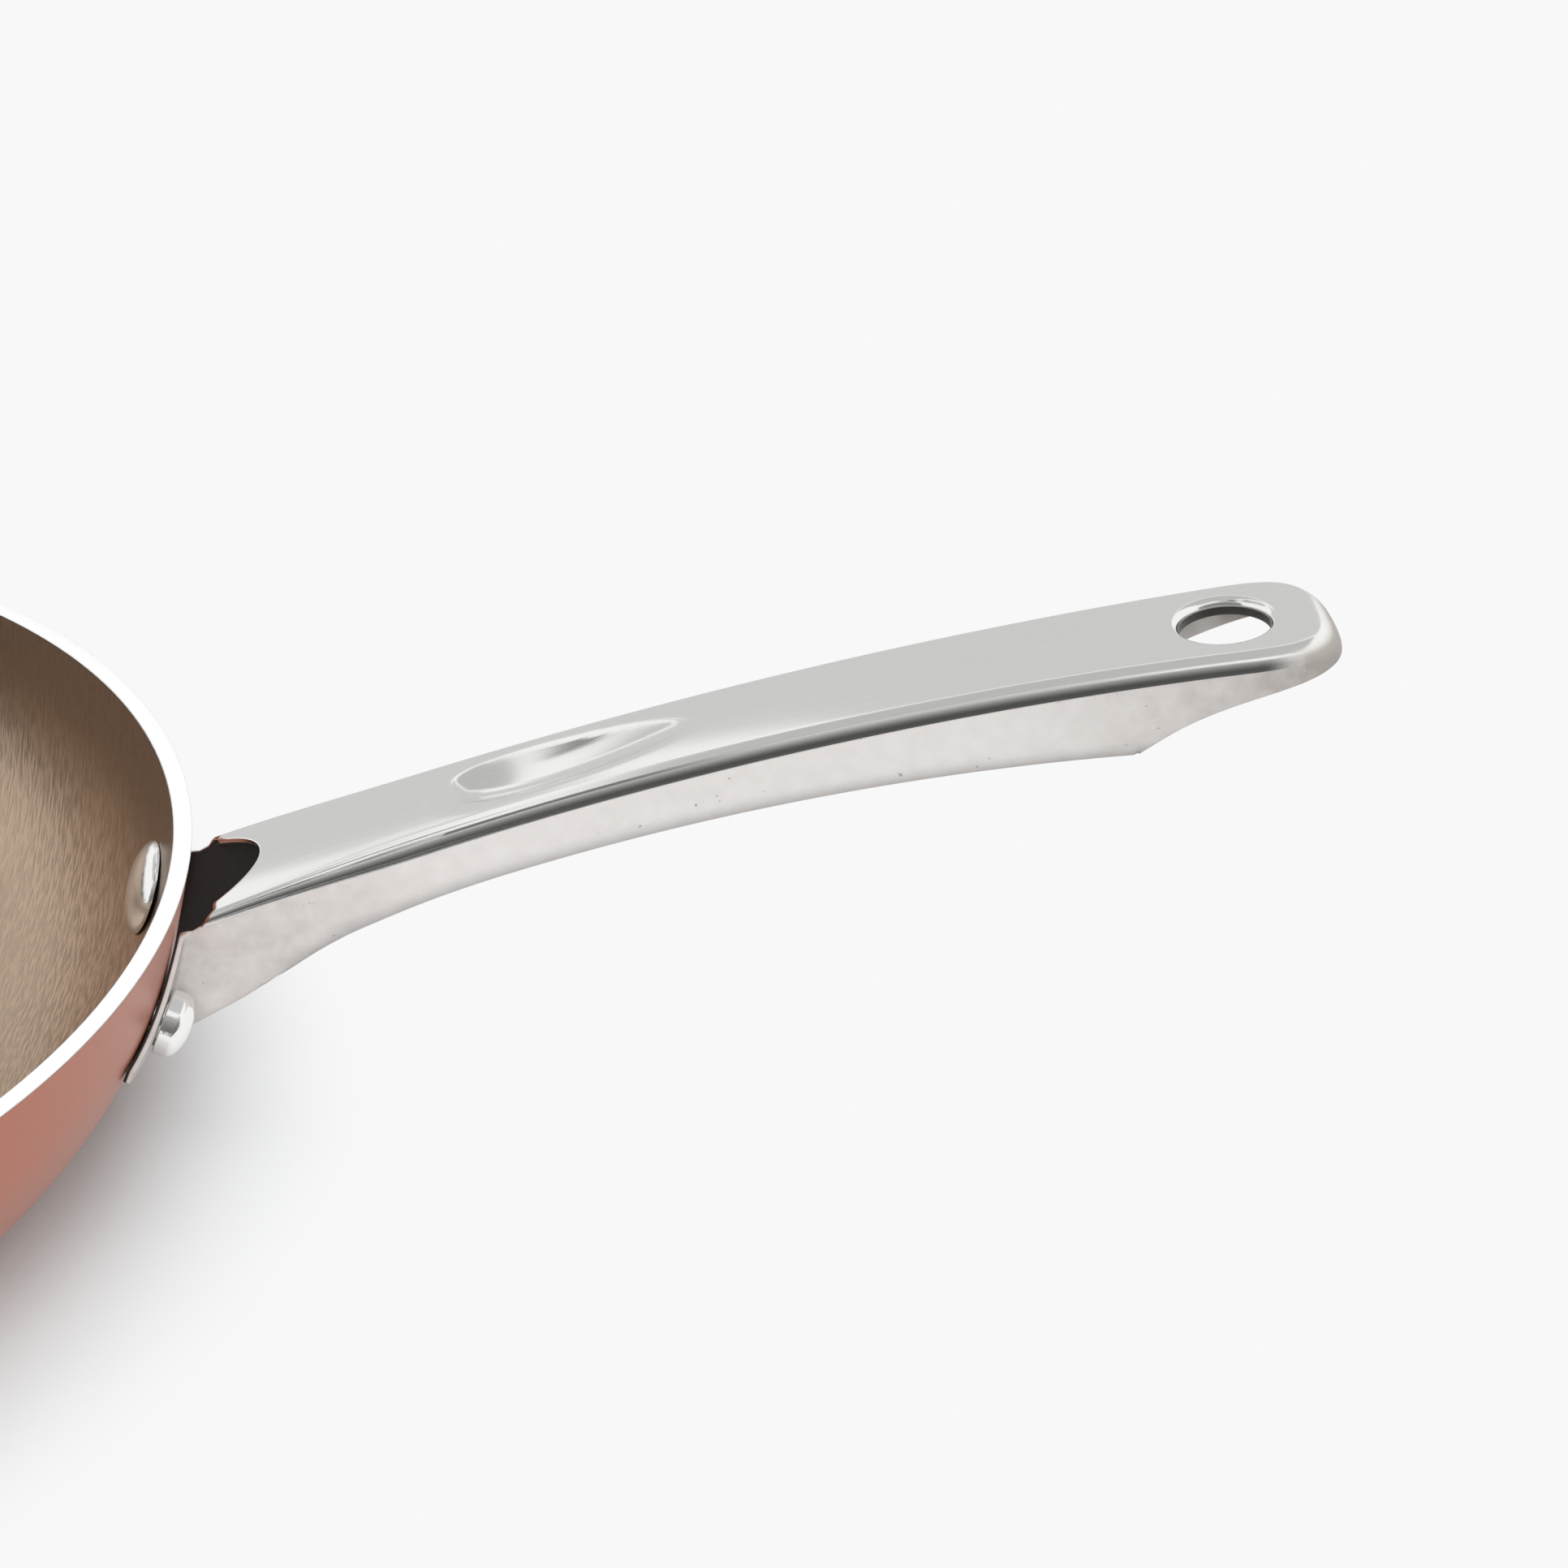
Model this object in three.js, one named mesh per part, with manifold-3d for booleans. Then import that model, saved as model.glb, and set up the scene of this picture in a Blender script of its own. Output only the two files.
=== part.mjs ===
// A pressed aluminium frying pan with a stamped steel handle on two rivets.
// Millimetres, +Z up. The base stands at the origin and the handle runs along +X.

import * as THREE from 'three';
import { mergeVertices } from 'three/addons/utils/BufferGeometryUtils.js';
import Module from 'manifold-3d';

const degrees = THREE.MathUtils.degToRad;

// Pan
const RIM_DIAMETER = 280;
const PAN_HEIGHT = 50;
const WALL_LEAN = degrees(13); // from upright
const CORNER_RADIUS = 48; // outside, between wall and base
const PAN_SHEET = 3; // coatings included
const COATING = 0.3; // drawn thicker than it is, so that it is a solid
const COATING_GAP = 0.1; // between a coating and the metal
const RIM_LIP = 0.4; // bare metal below the machined rim
const BARE_HEEL = 1; // height above the table at which the lacquer stops
const PAN_SIDES = 60;
const CORNER_STEPS = 6;

// Handle, a channel of one sheet, measured along its arched top face
const HANDLE_SHEET = 1.2;
const HANDLE_LENGTH = 187; // from the neck to the tip
const NECK_GAP = 2; // from the ears' outer face at the rim to the top face
const NECK_DROP = 4.9; // top face below the rim
const NECK_RISE = degrees(19.9);
const NECK_SLANT = 2.5; // side walls reach this far ahead of the top face
const TIP_RISE = degrees(5);
const NECK_WIDTH = 27.6;
const WAIST_WIDTH = 24.5;
const TIP_WIDTH = 28.9;
const WAIST_AT = 70;
const NECK_WALL = 16.3;
const LOW_WALL = 11.9;
const TIP_WALL = 15.9;
const LOW_WALL_AT = 44.5;
const CROWN = 1; // middle of the top face above its edges, at the neck
const NECK_FILLET = 1.5;
const NECK_RUN = 34; // stretch over which that fillet grows
const NECK_DIP = 0.9; // ear's upper edge at the bend below the wall's
const SIDE_FILLET = 2.85;
const TIP_FILLET = 6;
const ROLL_RADIUS = 3; // lower edges, rolled in
const ROLL_STARTS = 20;
const TIP_CAP = 15; // length of the rounded end
const TIP_SQUARENESS = 3.6;
const NOTCH_DEPTH = 8.1; // scoop in the top face at the neck
const NOTCH_WIDTH = 20.8; // mouth of the scoop
const NOTCH_FULLNESS = 0.85;
const NOTCH_RUN = 24; // stretch of top face that follows the scoop

// Lower edge raised at the tip
const CUT_STARTS = 36; // from the tip
const KNEE_RUN = 5.5; // steep part of the cut
const KNEE_WALL = 8.9;
const END_WALL = 5;
const CUT_STEPS = 6;

// Thumb dimple
const DIMPLE_STARTS = 39;
const DIMPLE_LENGTH = 42;
const DIMPLE_WIDTH = 18;
const DIMPLE_DEPTH = 2.6;

// Hanging hole with its down-turned collar
const HOLE_DIAMETER = 15;
const HOLE_SETBACK = 17.7; // hole centre from the tip
const HOLE_LIP = 1.6;
const COLLAR_DEPTH = 2.9;
const COLLAR_INSET = 0.25; // collar's root inside the sheet's two faces
const COLLAR_ROOT = 0.6; // reach of that root into the sheet
const HOLE_SIDES = 24;
const LIP_STEPS = 4;

// Ears that lie on the pan wall
const EAR_SPREAD = 75; // end to end
const EAR_CLEARANCE = 0.3;
const EAR_BEND = 1.1; // radius of the outer face
const EAR_FOOT = 9.5; // lower edge at the bend, below the rivet's centre
const EAR_TAPER = 0.6; // below 1, the lower edge rises most near the bend
const EAR_TIP_LIFT = 0.2; // upper edge at the ear's end, above the rivet's centre
const EAR_TIP_HEIGHT = 2;

// Rivets
const RIVET_DROP = 19.5; // below the rim
const SHANK_DIAMETER = 6;
const SHANK_CLEARANCE = 0.3;
const INNER_HEAD_DIAMETER = 16.2;
const INNER_HEAD_HEIGHT = 2.6;
const OUTER_HEAD_DIAMETER = 10.8;
const OUTER_HEAD_HEIGHT = 4.7;
const HEAD_EDGE = 2.1; // straight side of the outer head
const HEAD_SEAT = 0.1; // outer head clear of the ear
const INNER_SEAT = 0.5; // inner head clear of the coating
const HEAD_STEPS = 4;
const RIVET_SIDES = 20;

// Steps of the handle's mesh
const BODY_STEPS = 36;
const CAP_STEPS = 6;
const BEND_STEPS = 3;
const EAR_STEPS = 6;
const TOP_ROWS = 5;
const FILLET_ROWS = 3;
const WALL_ROWS = 3;
const ROLL_ROWS = 3;

const SAME_POINT = 1e-4; // corners closer than this are joined

// Finishes
const bareAluminium = { color: 0xd8d8d8, roughness: 0.3, metalness: 1 };
const taupeCoating = { color: 0x8a7867, roughness: 0.5, metalness: 0.2 };
const copperLacquer = { color: 0xb87a66, roughness: 0.35, metalness: 0.6 };
const satinSteel = { color: 0xc9c6c4, roughness: 0.28, metalness: 1 };
const polishedSteel = { color: 0xe2e0dd, roughness: 0.12, metalness: 1 };

const wasm = await Module();
wasm.setup();

// Values that follow from the driving dimensions

const rimRadius = RIM_DIAMETER / 2;
const wallStarts = CORNER_RADIUS * (1 - Math.sin(WALL_LEAN));
const cornerCentre =
  rimRadius - Math.tan(WALL_LEAN) * (PAN_HEIGHT - wallStarts) - CORNER_RADIUS * Math.cos(WALL_LEAN);
const heelAngle = Math.acos(1 - BARE_HEEL / CORNER_RADIUS);
const lacquerAngle = heelAngle + COATING_GAP / CORNER_RADIUS;
const cornerSweep = Math.PI / 2 - WALL_LEAN;
const earOffset = EAR_CLEARANCE + HANDLE_SHEET;
const neckX = rimRadius + earOffset + NECK_GAP;
const neckZ = PAN_HEIGHT - NECK_DROP;
const archTurn = (NECK_RISE - TIP_RISE) / HANDLE_LENGTH;
const capStarts = HANDLE_LENGTH - TIP_CAP;
const cutStarts = HANDLE_LENGTH - CUT_STARTS;
const rivetHeight = PAN_HEIGHT - RIVET_DROP;
const rivetAcross = NECK_WIDTH / 2 + EAR_BEND + OUTER_HEAD_DIAMETER / 2;
const boreRadius = SHANK_DIAMETER / 2 + SHANK_CLEARANCE;

// Solids

function solidOf(geometry) {
  const bare = geometry.index ? geometry.toNonIndexed() : geometry.clone();
  bare.deleteAttribute('normal');
  bare.deleteAttribute('uv');
  const merged = mergeVertices(bare, SAME_POINT);
  const corners = merged.index.array;
  const triangles = [];
  for (let i = 0; i < corners.length; i += 3) {
    const [a, b, c] = corners.slice(i, i + 3);
    if (a !== b && b !== c && c !== a) triangles.push(a, b, c);
  }
  const mesh = new wasm.Mesh({
    numProp: 3,
    vertProperties: new Float32Array(merged.attributes.position.array),
    triVerts: new Uint32Array(triangles),
  });
  return new wasm.Manifold(mesh);
}

function geometryOf(solid) {
  const mesh = solid.getMesh();
  const geometry = new THREE.BufferGeometry();
  geometry.setAttribute('position', new THREE.BufferAttribute(mesh.vertProperties, 3));
  geometry.setIndex(new THREE.BufferAttribute(mesh.triVerts, 1));
  geometry.computeVertexNormals();
  return geometry;
}

// A closed outline of [radius, height] pairs, counter-clockwise, turned about Z
function turned(outline, sides) {
  const points = [...outline, outline[0]].map(([r, z]) => new THREE.Vector2(r, z));
  return new THREE.LatheGeometry(points, sides).rotateX(Math.PI / 2);
}

// A sheet: the quads of its outer face, given the thickness of the metal inwards
function sheetGeometry(quads, thickness) {
  const corners = [];
  for (const [a, b, c, d] of quads) {
    corners.push(a, b, c, a, c, d);
  }
  const loose = new THREE.BufferGeometry().setFromPoints(corners);
  const outer = mergeVertices(loose, SAME_POINT);
  const faces = [];
  for (let i = 0; i < outer.index.count; i += 3) {
    const face = [0, 1, 2].map((k) => outer.index.getX(i + k));
    if (new Set(face).size === 3) faces.push(face);
  }
  outer.setIndex(faces.flat());
  outer.computeVertexNormals();
  const count = outer.attributes.position.count;
  const outerPoints = [];
  const innerPoints = [];
  for (let i = 0; i < count; i += 1) {
    const point = new THREE.Vector3().fromBufferAttribute(outer.attributes.position, i);
    const normal = new THREE.Vector3().fromBufferAttribute(outer.attributes.normal, i);
    outerPoints.push(point);
    innerPoints.push(point.clone().addScaledVector(normal, -thickness));
  }
  const edges = new Set();
  for (const [a, b, c] of faces) {
    edges.add([a, b].join()).add([b, c].join()).add([c, a].join());
  }
  const index = [];
  for (const [a, b, c] of faces) {
    index.push(a, b, c, count + a, count + c, count + b);
    for (const [p, q] of [[a, b], [b, c], [c, a]]) {
      if (!edges.has([q, p].join())) index.push(p, count + p, q, q, count + p, count + q);
    }
  }
  const geometry = new THREE.BufferGeometry().setFromPoints([...outerPoints, ...innerPoints]);
  return geometry.setIndex(index);
}

// Pan: its outside, and every layer under it as an offset of that outside

// Points at a depth under the outside, from an angle on the corner up to a height on the wall
function panLine(depth, fromAngle, topHeight) {
  const radius = CORNER_RADIUS - depth;
  const points = [];
  for (let i = 0; i <= CORNER_STEPS; i += 1) {
    const angle = THREE.MathUtils.lerp(fromAngle, cornerSweep, i / CORNER_STEPS);
    points.push([cornerCentre + radius * Math.sin(angle), CORNER_RADIUS - radius * Math.cos(angle)]);
  }
  points.push([panRadius(topHeight, -depth), topHeight]);
  return points;
}

// Radius of the pan at a height, moved out along its normal by an offset
function panRadius(height, offset) {
  const radius = CORNER_RADIUS + offset;
  const below = CORNER_RADIUS - height;
  if (below > radius * Math.sin(WALL_LEAN)) return cornerCentre + Math.sqrt(radius ** 2 - below ** 2);
  const tangent = cornerCentre + radius * Math.cos(WALL_LEAN);
  return tangent + Math.tan(WALL_LEAN) * (radius * Math.sin(WALL_LEAN) - below);
}

const lipHeight = PAN_HEIGHT - RIM_LIP;
const coatingTop = lipHeight - COATING_GAP;
const metalDepth = COATING + COATING_GAP;

function panBody() {
  const outside = panLine(metalDepth, heelAngle, lipHeight);
  const heel = [
    cornerCentre + CORNER_RADIUS * Math.sin(heelAngle),
    CORNER_RADIUS - CORNER_RADIUS * Math.cos(heelAngle),
  ];
  const rim = [
    [panRadius(lipHeight, 0), lipHeight],
    [rimRadius, PAN_HEIGHT],
    [panRadius(PAN_HEIGHT, -PAN_SHEET), PAN_HEIGHT],
    [panRadius(lipHeight, -PAN_SHEET), lipHeight],
  ];
  const inside = panLine(PAN_SHEET - metalDepth, 0, lipHeight).reverse();
  const floor = [[0, PAN_SHEET - metalDepth]];
  return turned([[0, 0], [cornerCentre, 0], heel, ...outside, ...rim, ...inside, ...floor], PAN_SIDES);
}

function interiorCoating() {
  const under = panLine(PAN_SHEET - COATING, 0, coatingTop);
  const face = panLine(PAN_SHEET, 0, coatingTop).reverse();
  const axis = [[0, PAN_SHEET], [0, PAN_SHEET - COATING]];
  return turned([...under, ...face, ...axis], PAN_SIDES);
}

function exteriorLacquer() {
  const face = panLine(0, lacquerAngle, coatingTop);
  const under = panLine(COATING, lacquerAngle, coatingTop).reverse();
  return turned([...face, ...under], PAN_SIDES);
}

// Handle: a point at a distance from the neck, across the handle and above its top face

function archRise(along) {
  return NECK_RISE - archTurn * along;
}

function onHandle(along, across, above) {
  const rise = archRise(along);
  const x = neckX + (Math.sin(NECK_RISE) - Math.sin(rise)) / archTurn;
  const x2 = x - above * Math.sin(rise);
  const z = neckZ + (Math.cos(rise) - Math.cos(NECK_RISE)) / archTurn;
  return new THREE.Vector3(x2, across, z + above * Math.cos(rise));
}

// Value that falls from the neck to its least and grows again towards the tip
function waisted(along, atNeck, least, atTip, leastAt, fullAt) {
  if (along < leastAt) return least + (atNeck - least) * (1 - along / leastAt) ** 2;
  const share = Math.min(1, (along - leastAt) / (fullAt - leastAt));
  return least + (atTip - least) * share ** 2;
}

function halfWidth(along) {
  return waisted(along, NECK_WIDTH, WAIST_WIDTH, TIP_WIDTH, WAIST_AT, capStarts) / 2;
}

function wallHeight(along) {
  return waisted(along, NECK_WALL, LOW_WALL, TIP_WALL, LOW_WALL_AT, cutStarts);
}

// Teardrop, blunt towards the pan and drawn out towards the tip, widest a third of the way along
function dimple(along, across) {
  const u = (along - DIMPLE_STARTS) / DIMPLE_LENGTH;
  if (u <= 0 || u >= 1) return 0;
  const widest = Math.sqrt(1 / 3) * (2 / 3);
  const taper = (Math.sqrt(u) * (1 - u)) / widest;
  const v = (2 * across) / DIMPLE_WIDTH / Math.sqrt(taper);
  return Math.abs(v) < 1 ? DIMPLE_DEPTH * taper * (1 - v * v) ** 2 : 0;
}

function notch(across) {
  const mouth = Math.max(0, 1 - ((2 * across) / NOTCH_WIDTH) ** 2);
  return NOTCH_DEPTH * mouth ** NOTCH_FULLNESS;
}

// Outline of the walls in plan: place, outward direction, fillet and middle of the top face
function outlineAt(step) {
  if (step <= BODY_STEPS) {
    const along = (capStarts * step) / BODY_STEPS;
    const grown = THREE.MathUtils.smoothstep(along, 0, NECK_RUN);
    const fillet = THREE.MathUtils.lerp(NECK_FILLET, SIDE_FILLET, grown);
    return { along, across: halfWidth(along), ahead: 0, out: 1, fillet, middle: along };
  }
  const angle = ((step - BODY_STEPS) / CAP_STEPS) * (Math.PI / 2);
  const sine = Math.sin(angle);
  const cosine = step === BODY_STEPS + CAP_STEPS ? 0 : Math.cos(angle);
  const power = 2 / TIP_SQUARENESS;
  const width = halfWidth(capStarts);
  const slope = new THREE.Vector2(sine ** (2 - power) / TIP_CAP, cosine ** (2 - power) / width).normalize();
  return {
    along: capStarts + TIP_CAP * sine ** power,
    across: width * cosine ** power,
    ahead: slope.x,
    out: slope.y,
    fillet: THREE.MathUtils.lerp(SIDE_FILLET, TIP_FILLET, sine ** 3),
    middle: capStarts,
  };
}

// Points of the outer face from the middle of the top, over the fillet and down the wall to the rolled edge
function bodyColumn(step) {
  const edge = outlineAt(step);
  const height = wallHeight(edge.along);
  const roll = ROLL_RADIUS * THREE.MathUtils.smoothstep(edge.along, 0, ROLL_STARTS);
  const atNeck = Math.max(0, 1 - edge.along / NOTCH_RUN);
  const inset = (distance, above, slant) => {
    const along = edge.along - edge.ahead * distance - slant * atNeck;
    return onHandle(along, edge.across - edge.out * distance, above);
  };
  const points = [];
  for (let i = 0; i < TOP_ROWS; i += 1) {
    const share = i / TOP_ROWS;
    const plain = THREE.MathUtils.lerp(edge.middle, edge.along - edge.ahead * edge.fillet, share);
    const across = share * (edge.across - edge.out * edge.fillet);
    const along = plain + notch(across) * atNeck;
    const crown = CROWN * (1 - share ** 2) * (1 - THREE.MathUtils.smoothstep(along, 0, cutStarts));
    points.push(onHandle(along, across, crown - dimple(along, across)));
  }
  for (let i = 0; i < FILLET_ROWS; i += 1) {
    const share = i / FILLET_ROWS;
    const angle = share * (Math.PI / 2);
    const distance = edge.fillet * (1 - Math.sin(angle));
    points.push(inset(distance, edge.fillet * (Math.cos(angle) - 1), NECK_SLANT * share));
  }
  for (let i = 0; i < WALL_ROWS; i += 1) {
    points.push(inset(0, THREE.MathUtils.lerp(-edge.fillet, roll - height, i / WALL_ROWS), NECK_SLANT));
  }
  for (let i = 0; i <= ROLL_ROWS; i += 1) {
    const angle = (i / ROLL_ROWS) * (Math.PI / 2);
    points.push(inset(roll * (1 - Math.cos(angle)), roll - height - roll * Math.sin(angle), NECK_SLANT));
  }
  return points;
}

// The same wall going on round the bend and along the pan, without top face or rolled edge
function earColumn(step) {
  const bend = Math.min(1, step / BEND_STEPS) * (Math.PI / 2);
  const bendEnd = NECK_WIDTH / 2 + EAR_BEND;
  const share = Math.max(0, step - BEND_STEPS) / EAR_STEPS;
  const offset = earOffset + EAR_BEND * (1 - Math.sin(bend));
  const bent = NECK_WIDTH / 2 + EAR_BEND * (1 - Math.cos(bend));
  const across = step <= BEND_STEPS ? bent : THREE.MathUtils.lerp(bendEnd, EAR_SPREAD / 2, share);
  const reach = (across - NECK_WIDTH / 2) / (EAR_SPREAD / 2 - NECK_WIDTH / 2);
  const topStarts = onHandle(-NECK_SLANT, 0, -NECK_FILLET).z - NECK_DIP;
  const topEnds = rivetHeight + EAR_TIP_LIFT;
  const top = THREE.MathUtils.lerp(topStarts, topEnds, Math.sin((reach * Math.PI) / 2));
  const foot = THREE.MathUtils.lerp(rivetHeight - EAR_FOOT, topEnds - EAR_TIP_HEIGHT, reach ** EAR_TAPER);
  const points = new Array(TOP_ROWS + FILLET_ROWS).fill(null);
  for (let i = 0; i <= WALL_ROWS; i += 1) {
    const z = THREE.MathUtils.lerp(top, foot, i / WALL_ROWS);
    points.push(new THREE.Vector3(Math.sqrt(panRadius(z, offset) ** 2 - across ** 2), across, z));
  }
  return [...points, ...new Array(ROLL_ROWS).fill(null)];
}

function handleQuads() {
  const columns = [];
  for (let step = BEND_STEPS + EAR_STEPS; step >= 0; step -= 1) columns.push(earColumn(step));
  for (let step = 0; step <= BODY_STEPS + CAP_STEPS; step += 1) columns.push(bodyColumn(step));
  const mirror = (point) => new THREE.Vector3(point.x, -point.y, point.z);
  const quads = [];
  for (let j = 1; j < columns.length; j += 1) {
    for (let i = 1; i < columns[j].length; i += 1) {
      const quad = [columns[j - 1][i - 1], columns[j][i - 1], columns[j][i], columns[j - 1][i]];
      if (quad.includes(null)) continue;
      quads.push(quad, [...quad].reverse().map(mirror));
    }
  }
  return quads;
}

// What is sheared off under the tip
function tipCut() {
  const below = -TIP_WALL - NECK_WALL;
  const beyond = HANDLE_LENGTH + TIP_CAP;
  const shape = new THREE.Shape();
  shape.moveTo(cutStarts, below);
  shape.lineTo(cutStarts, -TIP_WALL);
  shape.quadraticCurveTo(cutStarts + KNEE_RUN, -KNEE_WALL, HANDLE_LENGTH, -END_WALL);
  shape.lineTo(beyond, -END_WALL);
  shape.lineTo(beyond, below);
  const acrossBoth = { depth: 2 * TIP_WIDTH, bevelEnabled: false, curveSegments: CUT_STEPS };
  const geometry = new THREE.ExtrudeGeometry(shape, acrossBoth);
  const place = geometry.attributes.position;
  for (let i = 0; i < place.count; i += 1) {
    const point = onHandle(place.getX(i), TIP_WIDTH - place.getZ(i), place.getY(i));
    place.setXYZ(i, point.x, point.y, point.z);
  }
  return geometry;
}

// Turned about Z, then set square on the handle's top face at the hanging hole
function atHole(outline) {
  const along = HANDLE_LENGTH - HOLE_SETBACK;
  const spot = onHandle(along, 0, 0);
  return turned(outline, HOLE_SIDES).rotateY(-archRise(along)).translate(spot.x, spot.y, spot.z);
}

function holeCut() {
  const radius = HOLE_DIAMETER / 2 + HOLE_LIP;
  const reach = HANDLE_SHEET + HOLE_LIP;
  return atHole([[0, -reach], [radius, -reach], [radius, reach], [0, reach]]);
}

// From its root in the sheet, over the lip and down to its foot, then back under the lip
function holeCollar() {
  const bore = HOLE_DIAMETER / 2;
  const wall = HANDLE_SHEET - 2 * COLLAR_INSET;
  const lipCentre = [bore + HOLE_LIP, -COLLAR_INSET - HOLE_LIP];
  const arc = (radius) => {
    const points = [];
    for (let i = 0; i <= LIP_STEPS; i += 1) {
      const angle = (i / LIP_STEPS) * (Math.PI / 2);
      points.push([lipCentre[0] - radius * Math.sin(angle), lipCentre[1] + radius * Math.cos(angle)]);
    }
    return points;
  };
  const root = lipCentre[0] + COLLAR_ROOT;
  const face = [[root, -COLLAR_INSET], ...arc(HOLE_LIP), [bore, -COLLAR_DEPTH]];
  const back = [[root, -COLLAR_INSET - wall], ...arc(HOLE_LIP - wall), [bore + wall, -COLLAR_DEPTH]];
  return atHole([...back, ...face.reverse()]);
}

// Rivets, each square to the pan wall

function rivetPlace(side) {
  const radius = panRadius(rivetHeight, 0);
  const across = side * rivetAcross;
  const bearing = Math.asin(across / radius);
  const below = Math.min(cornerSweep, Math.acos((CORNER_RADIUS - rivetHeight) / CORNER_RADIUS));
  const place = new THREE.Group();
  place.position.set(radius * Math.cos(bearing), across, rivetHeight);
  place.rotation.set(0, Math.PI - below, bearing, 'ZYX');
  place.updateMatrix();
  return place;
}

// Outline along the rivet's axis, zero at the pan's outside and growing outwards
function rivetOutline() {
  const shank = SHANK_DIAMETER / 2;
  const innerRadius = INNER_HEAD_DIAMETER / 2;
  const outerRadius = OUTER_HEAD_DIAMETER / 2;
  const hollow = innerRadius ** 2 / (2 * (CORNER_RADIUS - PAN_SHEET));
  const innerSeat = -PAN_SHEET - INNER_SEAT;
  const innerEdge = innerSeat - hollow;
  const outerSeat = earOffset + HEAD_SEAT;
  const outerDome = OUTER_HEAD_HEIGHT - HEAD_EDGE;
  const inner = [];
  const outer = [];
  for (let i = 0; i <= HEAD_STEPS; i += 1) {
    const angle = (i / HEAD_STEPS) * (Math.PI / 2);
    const [sine, cosine] = [Math.sin(angle), Math.cos(angle)];
    inner.push([innerRadius * sine, innerEdge - INNER_HEAD_HEIGHT * cosine]);
    outer.push([outerRadius * cosine, outerSeat + HEAD_EDGE + outerDome * sine]);
  }
  return [...inner, [shank, innerSeat], [shank, outerSeat], [outerRadius, outerSeat], ...outer];
}

function rivetBore(side) {
  const reach = PAN_SHEET + earOffset + INNER_HEAD_HEIGHT;
  const bore = turned([[0, -reach], [boreRadius, -reach], [boreRadius, reach], [0, reach]], RIVET_SIDES);
  return solidOf(bore.applyMatrix4(rivetPlace(side).matrix));
}

const rivetBores = rivetBore(-1).add(rivetBore(1));

// Assembly

function piece(name, geometry, finish) {
  const mesh = new THREE.Mesh(geometry, new THREE.MeshStandardMaterial(finish));
  mesh.name = name;
  return mesh;
}

function bored(geometry) {
  return geometryOf(solidOf(geometry).subtract(rivetBores));
}

function handle() {
  const sheet = solidOf(sheetGeometry(handleQuads(), HANDLE_SHEET));
  const holed = sheet.subtract(solidOf(holeCut())).add(solidOf(holeCollar()));
  return geometryOf(holed.subtract(rivetBores).subtract(solidOf(tipCut())));
}

function rivet(name, side) {
  const place = rivetPlace(side);
  place.add(piece(name, geometryOf(solidOf(turned(rivetOutline(), RIVET_SIDES))), polishedSteel));
  return place;
}

const fryingPan = new THREE.Group();
fryingPan.add(
  piece('pan_body', bored(panBody()), bareAluminium),
  piece('interior_coating', bored(interiorCoating()), taupeCoating),
  piece('exterior_lacquer', bored(exteriorLacquer()), copperLacquer),
  piece('handle', handle(), satinSteel),
  rivet('rivet_left', 1),
  rivet('rivet_right', -1),
);

export default fryingPan;
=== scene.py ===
import math

import bpy
from bpy.props import FloatProperty, FloatVectorProperty, PointerProperty
from mathutils import Matrix, Vector


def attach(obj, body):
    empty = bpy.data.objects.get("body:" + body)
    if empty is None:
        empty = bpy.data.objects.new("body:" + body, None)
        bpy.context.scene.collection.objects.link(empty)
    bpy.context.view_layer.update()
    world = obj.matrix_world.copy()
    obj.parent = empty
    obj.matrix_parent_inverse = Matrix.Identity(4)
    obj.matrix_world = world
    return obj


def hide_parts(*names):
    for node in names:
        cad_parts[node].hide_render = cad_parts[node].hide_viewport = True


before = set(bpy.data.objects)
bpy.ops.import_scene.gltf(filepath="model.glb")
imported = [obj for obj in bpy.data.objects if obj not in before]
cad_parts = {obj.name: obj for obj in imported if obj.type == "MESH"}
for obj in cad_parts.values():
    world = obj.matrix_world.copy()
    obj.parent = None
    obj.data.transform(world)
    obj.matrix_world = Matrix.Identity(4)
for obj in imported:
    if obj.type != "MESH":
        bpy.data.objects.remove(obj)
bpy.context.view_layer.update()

bl_info = {
    "name": "Frying Pan",
    "version": (1, 0, 0),
    "blender": (4, 5, 0),
    "location": "View3D > Sidebar > Frying Pan",
    "description": "Models an open frying pan with a riveted steel handle, and its studio",
    "category": "Add Mesh",
}

# Steps of the dish and the rivets
TURN_STEPS = 240
FLAT_STEPS = 12
HEEL_STEPS = 4
CORNER_STEPS = 28
WALL_STEPS = 5
ROUND_STEPS = 4
RIVET_STEPS = 64
HEAD_STEPS = 14

# Steps along the handle and rows across it
BODY_STEPS = 174
CAP_STEPS = 28
HALF_STEPS = BODY_STEPS + CAP_STEPS
FILLET_ROWS = 8
WALL_ROWS = 14
PLATE_STEPS = 150
PLATE_ROWS = 28
RING_ROWS = 8
LIP_ROWS = 8
COLLAR_ROWS = 3
JOIN_STEPS = 4
BEND_STEPS = 8
EAR_STEPS = 26

# Powers in the handle's curves
TIP_SQUARENESS = 2.8
TIP_FILLET_POWER = 3
SCOOP_POWER = 0.85
BOWL_POWER = 1.2
EAR_TAPER = 0.6

# The dimple's deep bowl is shorter and narrower than the shallow one by so many insets
SHORTER = 1.2
NARROWER = 0.7
# Greatest value of a teardrop's taper, sqrt(share) * (1 - share)
FULL_TAPER = math.sqrt(1 / 3) * 2 / 3

# Lengths and angles for the modelling
SAME_POINT = 5e-6
LEAST_WALL = 0.001
DRILL_LENGTH = 0.03
QUARTER = math.pi / 2
SMOOTH_BELOW = math.radians(40)
BEVEL_ABOVE = math.radians(55)


def lerp(start, end, share):
    return start + (end - start) * share


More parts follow.
